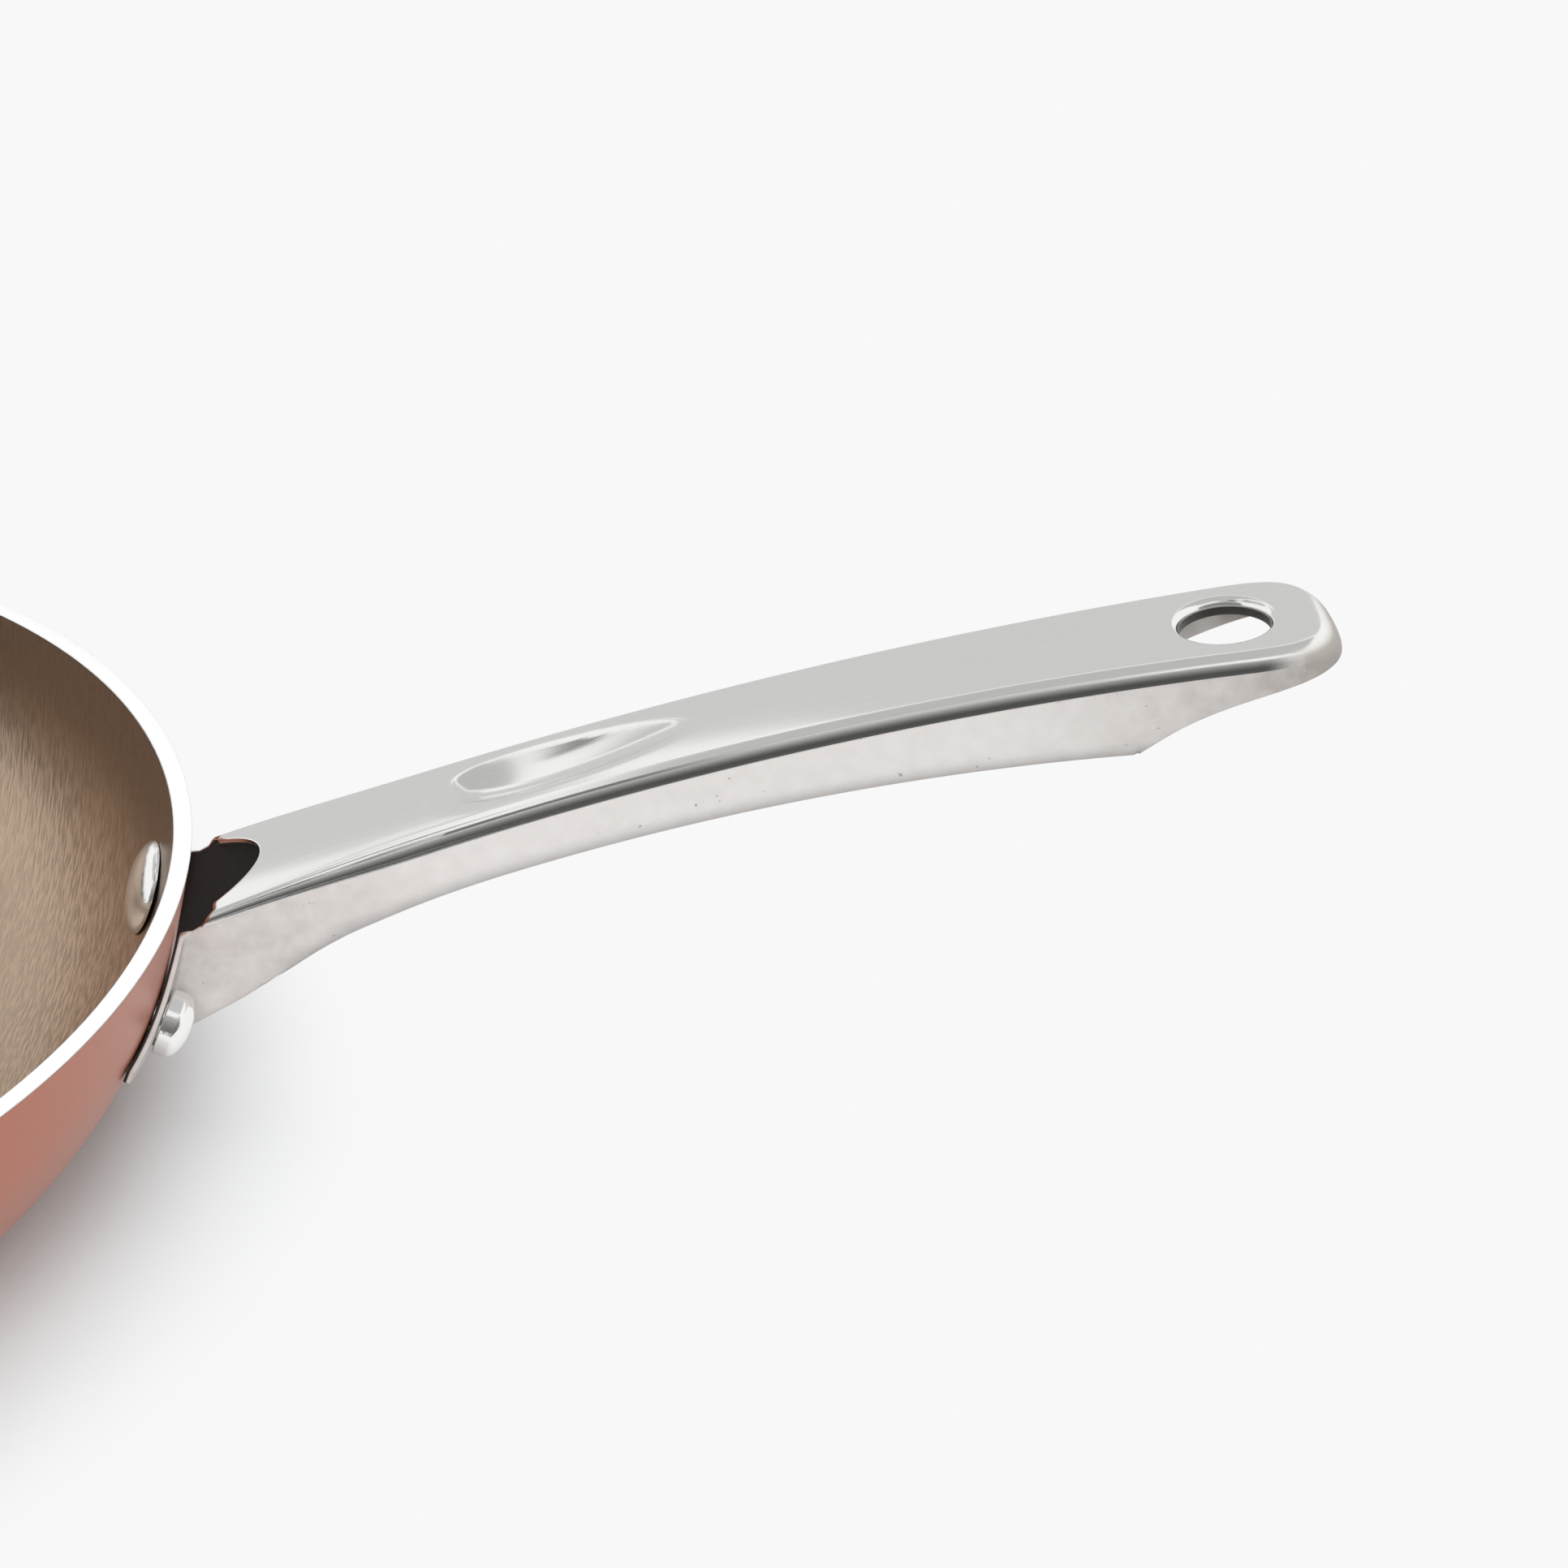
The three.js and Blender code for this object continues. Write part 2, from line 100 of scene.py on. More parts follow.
def smoothstep(value, start, end):
    share = min(1, max(0, (value - start) / (end - start)))
    return share * share * (3 - 2 * share)


# Sizes and colours


def length(name, description, millimetres):
    return FloatProperty(
        name=name, description=description, default=millimetres / 1000, min=0, precision=5, unit="LENGTH"
    )


def angle(name, description, degrees):
    return FloatProperty(
        name=name, description=description, default=math.radians(degrees), subtype="ANGLE", unit="ROTATION"
    )


def colour(name, description, red, green, blue):
    return FloatVectorProperty(
        name=name, description=description, default=(red, green, blue), min=0, max=1, size=3, subtype="COLOR"
    )


class PanSizes(bpy.types.PropertyGroup):
    """Sizes of the dish"""

    rim: length("Rim diameter", "Across the outside of the rim", 280)
    height: length("Height", "From the table to the rim", 50)
    lean: angle("Wall lean", "Lean of the wall from upright", 13)
    corner: length("Corner radius", "Outside corner between base and wall", 48)
    sheet: length("Sheet", "Thickness of the wall with its coatings", 3)
    coating: length("Coating", "Thickness that a coating is drawn with", 0.3)
    gap: length("Coating gap", "Between a coating and the metal", 0.1)
    lip: length("Rim lip", "Bare metal below the machined rim", 0.4)
    rim_edge: length("Rim edge", "Rounding of the machined rim", 0.35)
    heel: length("Bare heel", "Height above the table at which the lacquer stops", 1)

    @property
    def corner_centre(self):
        wall_starts = self.corner * (1 - math.sin(self.lean))
        inwards = math.tan(self.lean) * (self.height - wall_starts) + self.corner * math.cos(self.lean)
        return self.rim / 2 - inwards

    @property
    def heel_angle(self):
        return math.acos(1 - self.heel / self.corner)

    @property
    def lip_height(self):
        return self.height - self.lip

    def radius_at(self, height, offset):
        """Radius at a height, moved out along the wall's normal by an offset"""
        radius = self.corner + offset
        below = self.corner - height
        if below > radius * math.sin(self.lean):
            return self.corner_centre + math.sqrt(radius**2 - below**2)
        tangent = self.corner_centre + radius * math.cos(self.lean)
        return tangent + math.tan(self.lean) * (radius * math.sin(self.lean) - below)

    def flat(self, height):
        """Points from the pan's axis out to the corner's start, at a height"""
        return [(self.corner_centre * step / FLAT_STEPS, height) for step in range(FLAT_STEPS)]

    def on_corner(self, turn, depth):
        """A point of the corner at a depth under the outside, turned up from straight down"""
        radius = self.corner - depth
        return self.corner_centre + radius * math.sin(turn), self.corner - radius * math.cos(turn)

    def line(self, depth, start, top):
        """Points at a depth under the outside, from an angle on the corner up to a height on the wall"""
        points = []
        for step in range(CORNER_STEPS + 1):
            turn = lerp(start, QUARTER - self.lean, step / CORNER_STEPS)
            points.append(self.on_corner(turn, depth))
        wall_starts = points[-1][1]
        for step in range(1, WALL_STEPS + 1):
            height = lerp(wall_starts, top, step / WALL_STEPS)
            points.append((self.radius_at(height, -depth), height))
        return points


class HandleSizes(bpy.types.PropertyGroup):
    """Sizes of the stamped handle, measured along its arched top face"""

    sheet: length("Sheet", "Thickness of the steel", 1.2)
    cut_edge: length("Cut edge", "Rounding of the sheet's cut edges", 0.2)
    reach: length("Length", "From the neck to the tip", 187.7)
    neck_gap: length("Neck gap", "From the ears' outer face at the rim to the top face", 2)
    neck_drop: length("Neck drop", "Top face below the rim at the neck", 4.9)
    neck_rise: angle("Neck rise", "Slope of the top face at the neck", 19.9)
    neck_slant: length("Neck slant", "Reach of the side walls ahead of the top face", 2.5)
    tip_rise: angle("Tip rise", "Slope of the top face at the tip", 5)
    neck_width: length("Neck width", "Across the walls at the neck", 27.6)
    waist_width: length("Waist width", "Across the walls where they are closest", 24.5)
    tip_width: length("Tip width", "Across the walls where the rounded end starts", 28.9)
    waist_at: length("Waist", "Distance of the waist from the neck", 70)
    neck_wall: length("Neck wall", "Height of the side wall at the neck", 16.3)
    low_wall: length("Low wall", "Least height of the side wall", 12.5)
    tip_wall: length("Tip wall", "Height of the side wall where the cut starts", 16.5)
    low_wall_at: length("Low wall place", "Distance of the lowest wall from the neck", 44.5)
    crown: length("Crown", "Middle of the top face above its edges, at the neck", 1)
    side_fillet: length("Side fillet", "Rounding between top face and side wall", 2.85)
    neck_fillet: length("Neck fillet", "The same rounding at the neck", 1.5)
    neck_run: length("Neck run", "Stretch over which that rounding grows", 34)
    neck_dip: length("Neck dip", "Upper edge of the ear at the bend below that of the wall", 0.9)
    tip_fillet: length("Tip fillet", "The same rounding at the tip", 5.2)
    roll: length("Rolled edge", "Radius of the lower edges, rolled in", 4.6)
    roll_starts: length("Roll start", "Distance from the neck over which the roll grows", 20)
    cap: length("Rounded end", "Length of the rounded end", 16)
    notch_depth: length("Scoop depth", "Depth of the scoop in the top face at the neck", 8.1)
    notch_width: length("Scoop width", "Width of the scoop's mouth", 20.8)
    notch_run: length("Scoop run", "Stretch of top face that follows the scoop", 24)
    cut: length("Cut", "Stretch at the tip over which the lower edge is raised", 36.7)
    knee_run: length("Knee", "Steep part of the cut", 5.5)
    knee_wall: length("Knee wall", "Height of the wall at the knee", 8.9)
    end_wall: length("End wall", "Height of the wall at the tip", 5)
    dimple_starts: length("Dimple start", "Distance of the thumb dimple from the neck", 36.5)
    dimple_length: length("Dimple length", "Length of the thumb dimple", 46)
    dimple_width: length("Dimple width", "Width of the thumb dimple", 18)
    dimple_depth: length("Dimple depth", "Depth of the thumb dimple", 3.4)
    dimple_lip: length("Dimple lip", "Depth of the shallow bowl round the deep one", 0.8)
    dimple_inset: length("Dimple inset", "From the shallow bowl's end to the deep one's", 5)
    hole: length("Hanging hole", "Diameter of the hanging hole", 15)
    hole_setback: length("Hole setback", "Centre of the hanging hole from the tip", 18.4)
    hole_lip: length("Hole lip", "Rounding of the hole's edge", 1.6)
    collar: length("Collar", "Depth of the hole's collar below its lip", 1.3)
    ear_spread: length("Ear spread", "From end to end of the two ears", 75)
    ear_clearance: length("Ear clearance", "Between ears and pan", 0.3)
    ear_bend: length("Ear bend", "Radius of the bend from wall to ear", 1.1)
    ear_foot: length("Ear foot", "Lower edge of the ear at the bend, below the rivet", 9.5)
    ear_tip_lift: length("Ear tip lift", "Upper edge at the ear's end, above the rivet", 0.2)
    ear_tip_height: length("Ear tip height", "Height of the ear's end", 2)

    @property
    def pan(self):
        return self.id_data.pan_sizes

    @property
    def ear_offset(self):
        return self.ear_clearance + self.sheet

    @property
    def turn(self):
        return (self.neck_rise - self.tip_rise) / self.reach

    @property
    def neck(self):
        pan = self.pan
        return pan.rim / 2 + self.ear_offset + self.neck_gap, pan.height - self.neck_drop

    @property
    def arch_centre(self):
        x, z = self.neck
        return x + math.sin(self.neck_rise) / self.turn, z - math.cos(self.neck_rise) / self.turn

    @property
    def cap_starts(self):
        return self.reach - self.cap

    @property
    def cut_starts(self):
        return self.reach - self.cut

    def at(self, along, across, above):
        """A point at a distance from the neck, across the handle and above its top face"""
        rise = self.neck_rise - self.turn * along
        x, z = self.arch_centre
        radius = 1 / self.turn + above
        return Vector((x - radius * math.sin(rise), across, z + radius * math.cos(rise)))

    def half_width(self, along):
        widths = self.neck_width, self.waist_width, self.tip_width
        return waisted(along, *widths, self.waist_at, self.cap_starts) / 2

    def wall_height(self, along):
        return waisted(along, self.neck_wall, self.low_wall, self.tip_wall, self.low_wall_at, self.cut_starts)

    def cut_height(self, along):
        """Height of the wall that the cut at the tip leaves"""
        run = along - self.cut_starts
        if run <= 0:
            return self.wall_height(along)
        bend = self.cut - 2 * self.knee_run
        share = (math.sqrt(self.knee_run**2 + bend * run) - self.knee_run) / bend
        rest = 1 - share
        return rest**2 * self.tip_wall + 2 * share * rest * self.knee_wall + share**2 * self.end_wall

    def scoop(self, along, across):
        """How far the scoop at the neck pushes back a point of the top face"""
        mouth = 1 - (2 * across / self.notch_width) ** 2
        return self.notch_depth * max(0, mouth) ** SCOOP_POWER * max(0, 1 - along / self.notch_run)

    def teardrop(self, along, across, inset, depth):
        """Depth of a teardrop bowl, inset from the dimple's outline, blunt towards the pan"""
        share = (along - self.dimple_starts - inset) / (self.dimple_length - SHORTER * inset)
        if not 0 < share < 1:
            return 0
        taper = math.sqrt(share) * (1 - share) / FULL_TAPER
        side = 2 * across / (self.dimple_width - NARROWER * inset) / math.sqrt(taper)
        return depth * taper * (1 - side**2) ** BOWL_POWER if abs(side) < 1 else 0

    def dimple(self, along, across):
        """Depth of the thumb dimple, a bowl inside a shallow one"""
        shallow = self.teardrop(along, across, 0, self.dimple_lip)
        return shallow + self.teardrop(along, across, self.dimple_inset, self.dimple_depth - self.dimple_lip)

    def fillet(self, along):
        return lerp(self.neck_fillet, self.side_fillet, smoothstep(along, 0, self.neck_run))

    def edge(self, step):
        """Outline of the walls in plan: along, across, outward direction and fillet"""
        if step <= BODY_STEPS:
            along = self.cap_starts * step / BODY_STEPS
            return along, self.half_width(along), 0, 1, self.fillet(along)
        turn = (step - BODY_STEPS) / CAP_STEPS * QUARTER
        sine, cosine = math.sin(turn), math.cos(turn) if step < HALF_STEPS else 0
        power = 2 / TIP_SQUARENESS
        width = self.half_width(self.cap_starts)
        slope = Vector((sine ** (2 - power) / self.cap, cosine ** (2 - power) / width)).normalized()
        fillet = lerp(self.side_fillet, self.tip_fillet, sine**TIP_FILLET_POWER)
        return self.cap_starts + self.cap * sine**power, width * cosine**power, slope.x, slope.y, fillet

    def skirt(self, step, side, row):
        """A point of the fillet, the wall and the rolled edge"""
        along, across, ahead, out, fillet = self.edge(step)
        height = self.wall_height(along)
        depth = min(height, self.cut_height(along))
        roll = self.roll * smoothstep(along, 0, self.roll_starts)
        arc = fillet * QUARTER
        straight = height - roll - fillet

        def run_to(depth):
            if depth < fillet:
                return fillet * math.acos(1 - depth / fillet)
            if depth <= height - roll:
                return arc + depth - fillet
            return arc + straight + roll * math.asin(min(1, (depth - height + roll) / roll))

        fillet_ends = min(arc, run_to(depth - LEAST_WALL))
        if row <= FILLET_ROWS:
            run = fillet_ends * row / FILLET_ROWS
        else:
            run = lerp(fillet_ends, run_to(depth), (row - FILLET_ROWS) / WALL_ROWS)
        if run <= arc:
            inwards, above = fillet * (1 - math.sin(run / fillet)), fillet * (math.cos(run / fillet) - 1)
        elif run <= arc + straight or roll == 0:
            inwards, above = 0, arc - fillet - run
        else:
            turn = (run - arc - straight) / roll
            inwards, above = roll * (1 - math.cos(turn)), roll - height - roll * math.sin(turn)
        slant = self.neck_slant * min(1, run / arc) * max(0, 1 - along / self.notch_run)
        return self.at(along - ahead * inwards - slant, side * (across - out * inwards), above)

    def plate(self, step, share):
        """A point of the top face, share from -1 at one side to 1 at the other"""
        plain = self.cap_starts * step / BODY_STEPS
        across = share * (self.half_width(plain) - self.fillet(plain))
        along = plain + self.scoop(plain, across)
        crown = self.crown * (1 - share**2) * (1 - smoothstep(along, 0, self.cut_starts))
        return self.at(along, across, crown - self.dimple(along, across))

    def tip_loop(self):
        """Edge of the flat round the hanging hole, as pairs of along and across"""
        along = self.cap_starts * PLATE_STEPS / BODY_STEPS
        half = self.half_width(along) - self.fillet(along)
        loop = [(along, half * (2 * row / PLATE_ROWS - 1)) for row in range(PLATE_ROWS)]
        far = []
        for step in range(PLATE_STEPS, HALF_STEPS + 1):
            place, across, ahead, out, fillet = self.edge(step)
            far.append((place - ahead * fillet, across - out * fillet))
        return loop + far + [(place, -across) for place, across in reversed(far[:-1])]

    def tip(self, start, row):
        """A point of the flat round the hanging hole, its lip and its collar"""
        centre = Vector((self.reach - self.hole_setback, 0))
        bore = self.hole / 2
        start = Vector(start)
        out = (start - centre).normalized()
        if row <= RING_ROWS:
            place, above = start.lerp(centre + out * (bore + self.hole_lip), row / RING_ROWS), 0
        elif row <= RING_ROWS + LIP_ROWS:
            turn = (row - RING_ROWS) / LIP_ROWS * QUARTER
            place = centre + out * (bore + self.hole_lip * (1 - math.sin(turn)))
            above = self.hole_lip * (math.cos(turn) - 1)
        else:
            place = centre + out * bore
            above = -self.hole_lip - self.collar * (row - RING_ROWS - LIP_ROWS) / COLLAR_ROWS
        return self.at(place.x, place.y, above)

    def ear(self, column, side, row):
        """A point of the wall going on round the bend and along the pan"""
        share = row / WALL_ROWS
        if column < JOIN_STEPS:
            wall = self.skirt(0, side, FILLET_ROWS + row)
            return wall.lerp(self.ear(JOIN_STEPS, side, row), column / JOIN_STEPS)
        bend = min(1, (column - JOIN_STEPS) / BEND_STEPS) * QUARTER
        run = max(0, column - JOIN_STEPS - BEND_STEPS) / EAR_STEPS
        offset = self.ear_offset + self.ear_bend * (1 - math.sin(bend))
        across = self.neck_width / 2 + self.ear_bend * (1 - math.cos(bend))
        across = lerp(across, self.ear_spread / 2, math.sin(run * QUARTER))
        rivet = self.pan.height - self.id_data.rivet_sizes.drop
        reach = (across - self.neck_width / 2) / (self.ear_spread / 2 - self.neck_width / 2)
        ends = rivet + self.ear_tip_lift
        starts = self.at(-self.neck_slant, 0, -self.neck_fillet).z - self.neck_dip
        top = lerp(starts, ends, math.sin(reach * QUARTER))
        foot = lerp(rivet - self.ear_foot, ends - self.ear_tip_height, reach**EAR_TAPER)
        z = lerp(top, foot, share)
        return Vector((math.sqrt(self.pan.radius_at(z, offset) ** 2 - across**2), side * across, z))


def waisted(along, at_neck, least, at_tip, least_at, full_at):
    """Value that falls from the neck to its least and grows again towards the tip"""
    if along < least_at:
        return least + (at_neck - least) * (1 - along / least_at) ** 2
    share = min(1, (along - least_at) / (full_at - least_at))
    return least + (at_tip - least) * share**2


class RivetSizes(bpy.types.PropertyGroup):
    """Sizes of the two rivets"""

    drop: length("Drop", "Rivet's centre below the rim", 19.5)
    shank: length("Shank", "Diameter of the shank", 6)
    clearance: length("Bore clearance", "Bore round the shank, beyond its radius", 0.3)
    inner_head: length("Inner head", "Diameter of the head inside the pan", 16.2)
    inner_height: length("Inner head height", "Height of the head inside the pan", 3.3)
    outer_head: length("Outer head", "Diameter of the head on the ear", 10.8)
    outer_height: length("Outer head height", "Height of the head on the ear", 4.7)
    head_edge: length("Head edge", "Straight side of the outer head", 2.1)
    foot_edge: length("Foot edge", "Bevel at the outer head's foot", 0.2)
    seat: length("Seat", "Head clear of what it clamps", 0.1)

    @property
    def place(self):
        """Transform of the far rivet, from a rivet that stands along Z with its outer head up"""
        pan, handle = self.id_data.pan_sizes, self.id_data.handle_sizes
        height = pan.height - self.drop
        across = handle.neck_width / 2 + handle.ear_bend + self.outer_head / 2
        radius = pan.radius_at(height, 0)
        bearing = math.asin(across / radius)
        below = min(QUARTER - pan.lean, math.acos((pan.corner - height) / pan.corner))
        turn = Matrix.Rotation(bearing, 4, "Z") @ Matrix.Rotation(math.pi - below, 4, "Y")
        middle = Vector((radius * math.cos(bearing), across, height))
        return Matrix.Translation(middle) @ turn

    @property
    def swing(self):
        """Turn about the pan's axis from the far rivet to the near one"""
        middle = self.place.translation
        return Matrix.Rotation(-2 * math.atan2(middle.y, middle.x), 4, "Z")


class Finishes(bpy.types.PropertyGroup):
    """Colours of the finishes"""

    aluminium: colour("Bare aluminium", "Machined rim and base", 0.86, 0.86, 0.86)
    nonstick: colour("Nonstick", "Coating inside the pan", 0.54, 0.41, 0.31)
    lacquer: colour("Lacquer", "Metallic lacquer on the outside", 0.55, 0.185, 0.11)
    top_steel: colour("Polished steel", "Top face of the handle", 0.95, 0.945, 0.925)
    side_steel: colour("Satin steel", "Side walls of the handle", 0.82, 0.79, 0.77)
    # Darker steel towards the walls' ends: stains near the neck, stains and painted shade towards the tip
    stained_and_shaded_steel: colour("Worn steel", "Stains on the side walls near their ends", 0.41, 0.375, 0.35)
    # Near-black painted shade inside the neck, in the hole's collar and at the ears' edges
    painted_shade_steel: colour("Dull steel", "Inside of the handle at the neck", 0.02, 0.017, 0.016)
    rivet_steel: colour("Rivet steel", "Heads of the rivets", 0.98, 0.975, 0.96)
    studio: colour("Studio", "Floor and backdrop", 0.94, 0.94, 0.94)
    # Cool and dimmed by painting: the tint cancels the lacquer's pink bounce and the lower tone deepens the
    # shadow
    shaded_floor: colour("Shaded floor", "Floor that takes the pan's shadow", 0.68, 0.725, 0.735)


# Modelling


def start_piece(name):
    """Name the object just made"""
    piece = bpy.context.object
    piece.name = name
    piece.data.name = name
    return piece


def pick(piece):
    """Select a piece alone"""
    bpy.ops.object.select_all(action="DESELECT")
    piece.select_set(True)
    bpy.context.view_layer.objects.active = piece


def close_seams():
    """Join the points that meet and turn all faces one way"""
    bpy.ops.mesh.select_all(action="SELECT")
    bpy.ops.mesh.remove_doubles(threshold=SAME_POINT)
    bpy.ops.mesh.delete_loose(use_verts=True, use_edges=True, use_faces=False)
    bpy.ops.mesh.select_all(action="SELECT")
    bpy.ops.mesh.normals_make_consistent(inside=False)


def turned(name, outline, steps):
    """A closed outline of radius and height, drawn vertex by vertex and spun about Z"""
    bpy.ops.object.select_all(action="DESELECT")
    bpy.ops.mesh.primitive_plane_add()
    piece = start_piece(name)
    bpy.ops.object.mode_set(mode="EDIT")
    bpy.ops.mesh.select_all(action="SELECT")
    bpy.ops.mesh.merge(type="CENTER")
    bpy.ops.transform.translate(value=(outline[0][0], 0, outline[0][1]))
    for (radius, height), (next_radius, next_height) in zip(outline, outline[1:] + outline[:1]):
        step = (next_radius - radius, 0, next_height - height)
        bpy.ops.mesh.extrude_vertices_move(TRANSFORM_OT_translate={"value": step})
    bpy.ops.mesh.select_all(action="SELECT")
    bpy.ops.mesh.remove_doubles(threshold=SAME_POINT)
    bpy.ops.mesh.spin(steps=steps, angle=2 * math.pi, center=(0, 0, 0), axis=(0, 0, 1))
    close_seams()
    bpy.ops.object.mode_set(mode="OBJECT")
    return piece


def formed(name, columns, rows, place):
    """A grid whose vertices are put where place says for their column and row"""
    bpy.ops.object.select_all(action="DESELECT")
    bpy.ops.mesh.primitive_grid_add(x_subdivisions=columns - 1, y_subdivisions=rows - 1)
    piece = start_piece(name)
    for index, vertex in enumerate(piece.data.vertices):
        vertex.co = place(index % columns, index // columns)
    return piece


def rounded(start, corner, end, radius):
    """Points of an arc that rounds a corner of an outline"""
    start, corner, end = Vector(start), Vector(corner), Vector(end)
    first = corner + (start - corner).normalized() * radius
    last = corner + (end - corner).normalized() * radius
    points = []
    for step in range(ROUND_STEPS + 1):
        share = step / ROUND_STEPS
        points.append(tuple(first.lerp(corner, share).lerp(corner.lerp(last, share), share)))
    return points


def use(piece, kind, **settings):
    """Add a modifier, make its settings and apply it"""
    pick(piece)
    bpy.ops.object.modifier_add(type=kind)
    modifier = piece.modifiers[-1]
    for name, value in settings.items():
        setattr(modifier, name, value)
    bpy.ops.object.modifier_apply(modifier=modifier.name)


def bore(piece, scene):
    """Drill the two rivet bores"""
    rivet = scene.rivet_sizes
    radius = rivet.shank / 2 + rivet.clearance
    for swing in (Matrix.Identity(4), rivet.swing):
        bpy.ops.object.select_all(action="DESELECT")
        bpy.ops.mesh.primitive_cylinder_add(vertices=RIVET_STEPS, radius=radius, depth=DRILL_LENGTH)
        drill = bpy.context.object
        drill.matrix_world = swing @ rivet.place
        use(piece, "BOOLEAN", operation="DIFFERENCE", object=drill, solver="MANIFOLD")
        bpy.data.objects.remove(drill)


def finish_piece(piece, material, node):
    """Shade a piece, give it its finish and put it in its CAD node's place"""
    pick(piece)
    bpy.ops.object.transform_apply(location=True, rotation=True, scale=True)
    bpy.ops.object.shade_smooth_by_angle(angle=SMOOTH_BELOW)
    piece.data.materials.clear()
    piece.data.materials.append(material)
    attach(piece, "root")
    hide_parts(node)


# Finishes


class Shade:
    """A socket of a material, whose arithmetic adds Math nodes"""

    def __init__(self, tree, socket=None):
        self.tree = tree
        self.socket = socket

    def node(self, kind, settings, inputs, output=0):
        """Add a node, make its settings, set or link its sockets and give one of its outputs"""
        made = self.tree.nodes.new(kind)
        for name, value in settings.items():
            setattr(made, name, value)
        for name, value in inputs.items():
            if isinstance(value, Shade):
                self.tree.links.new(value.socket, made.inputs[name])
            else:
                made.inputs[name].default_value = value
        return Shade(self.tree, made.outputs[output] if made.outputs else None)

    def math(self, operation, *values):
        return self.node("ShaderNodeMath", {"operation": operation}, dict(enumerate(values)))

    def __add__(self, other):
        return self.math("ADD", self, other)

    def __radd__(self, other):
        return self.math("ADD", other, self)

    def __sub__(self, other):
        return self.math("SUBTRACT", self, other)

    def __rsub__(self, other):
        return self.math("SUBTRACT", other, self)

    def __mul__(self, other):
        return self.math("MULTIPLY", self, other)

    def __truediv__(self, other):
        return self.math("DIVIDE", self, other)

    def __pow__(self, other):
        return self.math("POWER", self, other)

    def hypot(self, other):
        """Length of the diagonal over two lengths"""
        return (self * self + other * other) ** 0.5

    def spot(self):
        """Object coordinates"""
        return self.node("ShaderNodeTexCoord", {}, {}, "Object")

    def place(self):
        """The three Object coordinates, one by one"""
        spot = self.spot()
        return [self.node("ShaderNodeSeparateXYZ", {}, {0: spot}, axis) for axis in "XYZ"]

    def step(self, start, end):
        """Smooth step from 0 at start to 1 at end"""
        settings = {"interpolation_type": "SMOOTHSTEP"}
        return self.node("ShaderNodeMapRange", settings, {"Value": self, "From Min": start, "From Max": end})

    def noise(self, x, y, z, detail):
        """Noise from 0 to 1, its cells one unit of the given coordinates across"""
        spot = self.node("ShaderNodeCombineXYZ", {}, {0: x, 1: y, 2: z})
        return self.node("ShaderNodeTexNoise", {}, {"Vector": spot, "Scale": 1, "Detail": detail})

    def speckle(self, scale, detail=2):
        """Noise from 0 to 1 that is alike in all directions, scale being its cells to the metre"""
        return self.node("ShaderNodeTexNoise", {}, {"Vector": self.spot(), "Scale": scale, "Detail": detail})

    def mix(self, first, second):
        """Blend of two colours, self being the share of the second"""
        inputs = {0: self, 6: opaque(first), 7: opaque(second)}
        return self.node("ShaderNodeMix", {"data_type": "RGBA"}, inputs, 2)

    def bump(self, distance):
        return self.node("ShaderNodeBump", {}, {"Height": self, "Distance": distance, "Strength": 1})


def opaque(shade):
    return shade if isinstance(shade, Shade) else (*shade, 1)


def toned(shade, share):
    return tuple(value * share for value in shade)


def new_finish(name):
    material = bpy.data.materials.new(name)
    material.use_nodes = True
    material.node_tree.nodes.clear()
    return material, Shade(material.node_tree)


def close_finish(shade, **values):
    """End a finish in a Principled shader"""
    inputs = {name.replace("_", " "): value for name, value in values.items()}
    shader = shade.node("ShaderNodeBsdfPrincipled", {}, inputs)
    shade.node("ShaderNodeOutputMaterial", {}, {"Surface": shader})


# Cells of noise to the metre
LATHE_RINGS = 3000
STROKES = (2000, 330, 300)  # across the strokes, along them and up
STEEL_GRAIN = (60, 2600, 2600)  # along the handle, across it and up

# Strokes of the coating, and painted shade that darkens it towards the rim
STROKE_TURN = math.radians(80)  # from the handle's direction
PAINTED_SHADE_HEIGHTS = (0.02, 0.045)  # heights between which the coating darkens
PAINTED_SHADE_TONE = 0.56

# Where the handle's finishes fade into each other, in metres
POLISH_FADE = (-0.0002, 0.0001)  # above the foot of the side fillet
END_STARTS = 0.001  # past the start of the rounded end
END_FULL = 0.006  # short of the tip
END_FADE = (-0.0003, -0.0018)  # above the top face
# The next seven bound the near-black painted shade inside the neck, at the ears' edges and in the collar
NECK_FADE = (0.018, 0.055)  # along the handle
ROLL_FADE = (0, 0.0005)  # above the rolled edge
CORNER_FADE = (-0.0005, 0.0005)  # below the seam of the pan's wall and corner
EAR_FADE = (-0.0001, 0.0001)  # through the ear
COLLAR_EDGE = 0.0006  # out from the hanging hole
COLLAR_FADE = (0, 0.0003)  # inwards from there
COLLAR_TOP = (-0.0009, -0.0015)  # above the top face
# Towards the tip the walls darken with stains and painted shade
STAINED_AND_SHADED_TIP = (0.125, 0.168)  # along the handle
STAINED_NECK = 0.045  # along the handle

# The next three shape the near-black painted shade
INNER_FACE = (0.5, 0.7)  # shares of the sheet's thickness
EAR_EDGE = 0.4  # share of the sheet's thickness
ROLL_SLOPE = 0.39  # rise of the rolled edge along the handle, near the neck
PITS = (0.735, 0.77)  # noise that shows as pits


def turned_aluminium(finishes):
    """Bare metal with fine rings from the lathe"""
    material, shade = new_finish("turned_aluminium")
    x, y, z = shade.place()
    rings = shade.noise(x.hypot(y) * LATHE_RINGS, z * LATHE_RINGS, 0, 3)
    wear = shade.speckle(90)
    close_finish(
        shade,
        Base_Color=wear.mix(toned(finishes.aluminium, 0.97), finishes.aluminium),
        Metallic=0.2,
        Roughness=0.24 + rings * 0.16,
        Normal=rings.bump(0.00002),
    )
    return material


